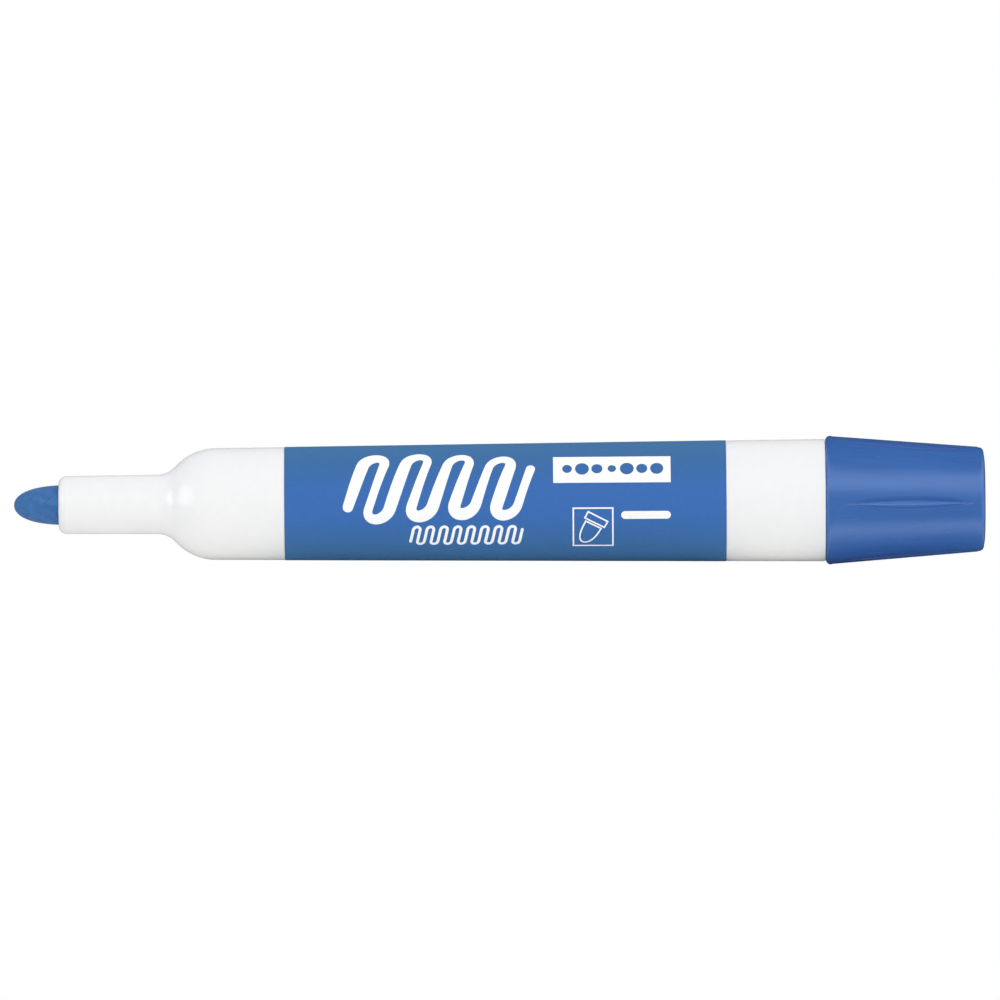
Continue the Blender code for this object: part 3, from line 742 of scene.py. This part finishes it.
def offsetOutline(path, widths):
    # outline of a stroke with round ends
    left, right, ends = [], [], []
    for i, (x, v) in enumerate(path):
        before = path[max(i - 1, 0)]
        after = path[min(i + 1, len(path) - 1)]
        heading = math.atan2(after[1] - before[1], after[0] - before[0])
        half = widths[i] / 2
        left.append((x - half * math.sin(heading), v + half * math.cos(heading)))
        right.append((x + half * math.sin(heading), v - half * math.cos(heading)))
        ends.append((heading, half))
    start = math.degrees(ends[0][0])
    end = math.degrees(ends[-1][0])
    tip = arcPoints(path[-1], ends[-1][1], end + 90, end - 90, 14)[1:-1]
    tail = arcPoints(path[0], ends[0][1], start - 90, start - 270, 14)[1:-1]
    return left + tip + right[::-1] + tail


def meander(s):
    # upright strokes joined by half circles, then leaned over
    path = []
    radius = s["pitch"] / 2
    for i in range(s["strokes"]):
        x = s["left"] + i * s["pitch"]
        top = s["tops"][(i // 2) % len(s["tops"])] * mm
        bottom = s["bottoms"][((i + 1) // 2) % len(s["bottoms"])] * mm
        rising = i % 2 == 0
        start, end = (bottom, top) if rising else (top, bottom)
        path += linePoints((x, start), (x, end), 12)
        if i < s["strokes"] - 1:
            path += arcPoints((x + radius, end), radius, 180, 0 if rising else 360, 16)[1:-1]
    leaned = [(x + s["lean"] * v, v) for x, v in path]
    widths = [s["width"] * (1 + s["swell"] * math.sin(0.13 * i)) for i in range(len(leaned))]
    return offsetOutline(leaned, widths)


def rectangleOutline(left, right, low, high):
    return [(left, low), (right, low), (right, high), (left, high)]


def capsuleOutline(s):
    half = s["width"] / 2
    path = [(s["left"] + half, s["middle"]), (s["right"] - half, s["middle"])]
    return offsetOutline(path, [s["width"]] * 2)


def iconOutlines():
    # a square frame, with a bullet nib and its collar drawn leaning in it
    s = icon
    line = s["line"]
    outlines = [
        rectangleOutline(s["left"], s["right"], s["low"], s["high"]),
        rectangleOutline(s["left"] + line, s["right"] - line, s["low"] + line, s["high"] - line),
    ]
    lean = math.radians(s["lean"])

    def placed(points):  # from along and across the nib to the label
        return [(s["nibX"] + u * math.cos(lean) - w * math.sin(lean),
                 s["nibV"] + u * math.sin(lean) + w * math.cos(lean)) for u, w in points]

    for shrink in (0.0, line):  # outside and inside of each drawn line
        half = s["nibWidth"] / 2 - shrink
        points = [(-half, -shrink), (half, -shrink)]
        for i in range(1, 24):
            angle = math.pi * i / 24
            deep = (s["nibLength"] - line - shrink) * math.sin(angle) ** 0.8
            points.append((half * math.cos(angle), -line - deep))
        outlines.append(placed(points))
    for shrink in (0.0, line):
        half = s["collarWidth"] / 2 - shrink
        foot = s["collarGap"] + shrink
        top = s["collarGap"] + s["collarHeight"] - shrink
        outlines.append(placed([(-half, foot), (half, foot), (half, top), (-half, top)]))
    return outlines


def panelOutlines():
    s = panel
    outlines = [rectangleOutline(s["left"], s["right"], s["low"], s["high"])]
    centreX, centreV = (s["left"] + s["right"]) / 2, (s["low"] + s["high"]) / 2
    first = centreX - s["dotPitch"] * (len(s["dots"]) - 1) / 2
    for i, radius in enumerate(s["dots"]):
        outlines.append(arcPoints((first + i * s["dotPitch"], centreV), radius * mm, 0, 360, 40)[:-1])
    return outlines


def printMark(name, outlines):
    deselectAll()
    flat = bpy.data.curves.new(name, "CURVE")
    flat.dimensions = "2D"
    flat.fill_mode = "BOTH"
    for outline in outlines:
        spline = flat.splines.new("POLY")
        spline.points.add(len(outline) - 1)
        for point, (x, v) in zip(spline.points, outline):
            point.co = (x, v, 0, 1)
        spline.use_cyclic_u = True
    thing = bpy.data.objects.new(name, flat)
    bpy.context.scene.collection.objects.link(thing)
    pickOnly(thing)
    bpy.ops.object.convert(target="MESH")
    bpy.ops.object.mode_set(mode="EDIT")
    bpy.ops.mesh.select_all(action="SELECT")
    bpy.ops.mesh.remove_doubles(threshold=0.001 * mm)
    low = min(v for outline in outlines for x, v in outline)
    high = max(v for outline in outlines for x, v in outline)
    for i in range(1, math.ceil((high - low) / printShape["slice"])):  # so that it can follow the label
        bpy.ops.mesh.select_all(action="SELECT")
        bpy.ops.mesh.bisect(plane_co=(0, low + i * printShape["slice"], 0), plane_no=(0, 1, 0))
    bpy.ops.object.mode_set(mode="OBJECT")
    solid = thing.modifiers.new("ink thickness", "SOLIDIFY")
    solid.thickness = printShape["sunk"] + printShape["raised"]
    solid.offset = 1.0
    bpy.ops.object.modifier_apply(modifier=solid.name)
    bpy.ops.object.mode_set(mode="EDIT")
    bpy.ops.mesh.select_all(action="SELECT")
    bpy.ops.mesh.normals_make_consistent(inside=False)
    bpy.ops.object.mode_set(mode="OBJECT")
    for vertex in thing.data.vertices:
        x, v, lift = vertex.co
        around = v / labelRadius(x)
        radius = labelRadius(x) - printShape["sunk"] + lift
        vertex.co = (x, -radius * math.cos(around), axisZ + radius * math.sin(around))
    smoothShade(thing, 30.0)
    return finishPiece(thing, "marker_body", "label_film", whiteInk)


printMark("print_scribble", [meander(scribble)])
printMark("print_ripple", [meander(ripple)])
printMark("print_panel", panelOutlines())
printMark("print_icon", iconOutlines())
printMark("print_bar", [capsuleOutline(bar)])
print("print made")


# Floor, light and camera

def makeFloor(s):
    deselectAll()
    bpy.ops.mesh.primitive_grid_add(x_subdivisions=8, y_subdivisions=8, size=s["size"], location=(0, 0, 0))
    floor = bpy.context.object
    floor.name = "floor"
    for vertex in floor.data.vertices:
        vertex.co.z = s["height"]
    material, tree, shader, coords = newMaterial("pale floor", Roughness=s["rough"])
    shader.inputs["Specular IOR Level"].default_value = s["shine"]
    grain = placeGroup(tree, mouldGrain, coords, Scale=s["grainScale"], Stretch=1.0)
    colour = mixColours(tree, grain.outputs["Clouds"], s["deep"], s["pale"])
    tree.links.new(colour, shader.inputs["Base Color"])
    shader.inputs["Emission Color"].default_value = (*s["glowColour"], 1.0)
    shader.inputs["Emission Strength"].default_value = s["glow"]  # keeps the contact shadow soft
    floor.data.materials.append(material)
    floor.visible_glossy = False


def addSoftbox(name, place, target, width, height, watts, colour):
    deselectAll()
    bpy.ops.object.light_add(type="AREA", location=place)
    lamp = bpy.context.object
    lamp.name = name
    lamp.data.shape = "RECTANGLE"
    lamp.data.size = width
    lamp.data.size_y = height
    lamp.data.energy = watts
    lamp.data.color = colour
    lamp.rotation_euler = (Vector(target) - Vector(place)).to_track_quat("-Z", "Y").to_euler()
    lamp.visible_camera = False
    return lamp


def rampNode(tree, value, stops):
    ramp = tree.nodes.new("ShaderNodeValToRGB")
    ramp.color_ramp.interpolation = "EASE"
    marks = ramp.color_ramp.elements
    for height, level in stops[1:-1]:
        marks.new((height + 1) / 2).color = (level, level, level, 1.0)
    for mark, level in ((marks[0], stops[0][1]), (marks[-1], stops[-1][1])):
        mark.color = (level, level, level, 1.0)
    share = addNode(tree, "ShaderNodeMath", operation="MULTIPLY_ADD")  # -1 to 1 becomes 0 to 1
    share.inputs[1].default_value = 0.5
    share.inputs[2].default_value = 0.5
    tree.links.new(value, share.inputs[0])
    tree.links.new(share.outputs[0], ramp.inputs["Fac"])
    return ramp.outputs["Color"]


def makeWorld(look):
    world = bpy.data.worlds.new("studio")
    bpy.context.scene.world = world
    world.use_nodes = True
    world.cycles.sampling_method = "NONE"  # so that every ray is told what kind it is
    tree = world.node_tree
    tree.nodes.clear()
    link = tree.links.new
    direction = tree.nodes.new("ShaderNodeTexCoord").outputs["Generated"]
    split = tree.nodes.new("ShaderNodeSeparateXYZ")
    link(direction, split.inputs[0])
    x, y, z = split.outputs[0], split.outputs[1], split.outputs[2]

    front = addNode(tree, "ShaderNodeMath", operation="MULTIPLY_ADD")
    front.inputs[1].default_value = -look["front"]
    front.inputs[2].default_value = look["base"]
    link(y, front.inputs[0])
    back = addNode(tree, "ShaderNodeMath", operation="MAXIMUM")
    back.inputs[1].default_value = look["back"]
    link(front.outputs[0], back.inputs[0])
    total = addNode(tree, "ShaderNodeMath", operation="MULTIPLY_ADD")
    total.inputs[1].default_value = look["above"]
    link(z, total.inputs[0])
    link(back.outputs[0], total.inputs[2])
    sideways = addNode(tree, "ShaderNodeMath", operation="MULTIPLY_ADD")
    sideways.inputs[1].default_value = look["right"]
    link(x, sideways.inputs[0])
    link(total.outputs[0], sideways.inputs[2])
    tint = addNode(tree, "ShaderNodeMix", data_type="RGBA", blend_type="MULTIPLY")
    tint.inputs["Factor"].default_value = 1.0
    link(mixColours(tree, z, look["lowTint"], look["highTint"], -1.0, 1.0), tint.inputs["A"])
    link(mixColours(tree, x, look["leftTint"], (1.0, 1.0, 1.0), -1.0, -0.1), tint.inputs["B"])
    soft = addNode(tree, "ShaderNodeBackground")
    link(tint.outputs["Result"], soft.inputs["Color"])
    link(sideways.outputs[0], soft.inputs["Strength"])

    facing = rampNode(tree, z, look["bands"])
    behind = mixValues(tree, y, 0.0, 1.0, -0.2, 0.2)
    bands = addNode(tree, "ShaderNodeMix", data_type="RGBA")
    link(behind, bands.inputs["Factor"])
    link(facing, bands.inputs["A"])
    bands.inputs["B"].default_value = (look["behind"], look["behind"], look["behind"], 1.0)
    total = bands.outputs["Result"]
    for colour, low, high in ((look["leftShine"], -0.5, -0.85), (look["rightShine"], 0.45, 0.8)):
        shine = addNode(tree, "ShaderNodeMix", data_type="RGBA", blend_type="ADD")
        shine.inputs["Factor"].default_value = 1.0
        link(total, shine.inputs["A"])
        link(mixColours(tree, x, (0.0, 0.0, 0.0), colour, low, high), shine.inputs["B"])
        total = shine.outputs["Result"]
    shiny = addNode(tree, "ShaderNodeBackground", Strength=look["bandStrength"])
    link(total, shiny.inputs["Color"])

    plain = addNode(tree, "ShaderNodeBackground", Color=(1.0, 1.0, 1.0, 1.0), Strength=1.0)
    path = tree.nodes.new("ShaderNodeLightPath")
    first = tree.nodes.new("ShaderNodeMixShader")
    link(path.outputs["Is Glossy Ray"], first.inputs[0])
    link(soft.outputs[0], first.inputs[1])
    link(shiny.outputs[0], first.inputs[2])
    second = tree.nodes.new("ShaderNodeMixShader")
    link(path.outputs["Is Camera Ray"], second.inputs[0])
    link(first.outputs[0], second.inputs[1])
    link(plain.outputs[0], second.inputs[2])
    output = tree.nodes.new("ShaderNodeOutputWorld")
    link(second.outputs[0], output.inputs["Surface"])


floorLook = dict(height=-0.02 * mm, size=30, rough=0.9, shine=0.2, grainScale=400.0,
                 deep=(0.93, 0.93, 0.88), pale=(0.95, 0.95, 0.90), glowColour=(1.0, 1.0, 0.94), glow=0.12)
studio = dict(base=0.44, front=0.86, back=0.40, above=0.34, right=0.06, lowTint=(1.0, 0.995, 0.97),
              highTint=(0.985, 0.99, 1.0), leftTint=(0.86, 0.87, 1.0),
              bands=((-1.0, 0.02), (-0.985, 0.35), (-0.84, 1.0), (-0.60, 0.06), (0.10, 0.02),
                     (0.45, 1.0), (0.66, 1.0), (0.93, 0.04), (1.0, 0.02)),  # height and level
              bandStrength=1.75, behind=0.03,
              leftShine=(0.35, 0.35, 0.42), rightShine=(0.45, 0.52, 0.58))
makeFloor(floorLook)
makeWorld(studio)
shoulder = Vector((shoulderX - 6 * mm, 0, axisZ))
towardsLight = Vector((-0.896, -0.381, 0.224))
sideLight = addSoftbox("side light", shoulder + 0.5 * towardsLight, shoulder, 0.3, 0.3, 6.5,
                       (0.97, 0.98, 1.0))
sideLight.visible_diffuse = False  # only the small highlight on the shoulder
lit = bpy.data.collections.new("lit from the side")
lit.objects.link(barrel)
sideLight.light_linking.receiver_collection = lit
keyLight = addSoftbox("key light", (0.3, -1.2, 1.8), (0, 0, 0), 1.2, 1.2, 2.5, (1.0, 0.99, 0.97))
keyLight.visible_glossy = False

lens = dict(distance=3.2, aimX=0.02 * mm, aimUp=0.32 * mm, roll=0.37, viewWidth=144.2 * mm,
            sensorWidth=36.0)


def makeCamera(s):
    deselectAll()
    aim = Vector((s["aimX"], 0, axisZ + s["aimUp"]))
    bpy.ops.object.camera_add(location=(s["aimX"], -s["distance"], floorLook["height"]))
    camera = bpy.context.object
    tilt = math.atan2(aim.z - floorLook["height"], s["distance"])
    camera.rotation_euler = (math.radians(90) + tilt, math.radians(s["roll"]), 0)
    camera.data.sensor_width = s["sensorWidth"]
    camera.data.lens = s["sensorWidth"] * s["distance"] / s["viewWidth"]
    camera.data.clip_start = 0.05
    camera.data.clip_end = 60.0
    bpy.context.scene.camera = camera


makeCamera(lens)
bpy.context.scene.view_settings.view_transform = "Standard"
print("floor, light and camera made")
